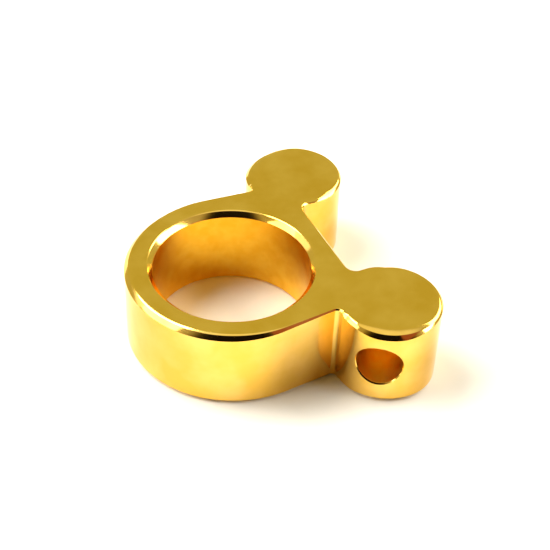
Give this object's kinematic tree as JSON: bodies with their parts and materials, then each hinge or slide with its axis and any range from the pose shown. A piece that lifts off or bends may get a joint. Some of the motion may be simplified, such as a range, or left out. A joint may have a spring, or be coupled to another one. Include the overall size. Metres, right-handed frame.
{
  "type": "saxophone ligature",
  "caption": "Thick machined ring that wedges a saxophone reed onto its mouthpiece, with round finger lugs beside a flat and a blind cross hole in each lug.",
  "frame": {"origin": "centre of the bore, halfway through its length", "axes": "+Z along the bore's axis and up when the ligature lies on its back face; +X from the bore to the flat between the lugs; Y from lug to lug"},
  "size_m": [0.0351, 0.0404, 0.0112],
  "materials": {
    "gold_plate": "polished gold plate over brass"
  },
  "bodies": {
    "root": {"ligature_ring": "gold_plate"}
  },
  "joints": []
}
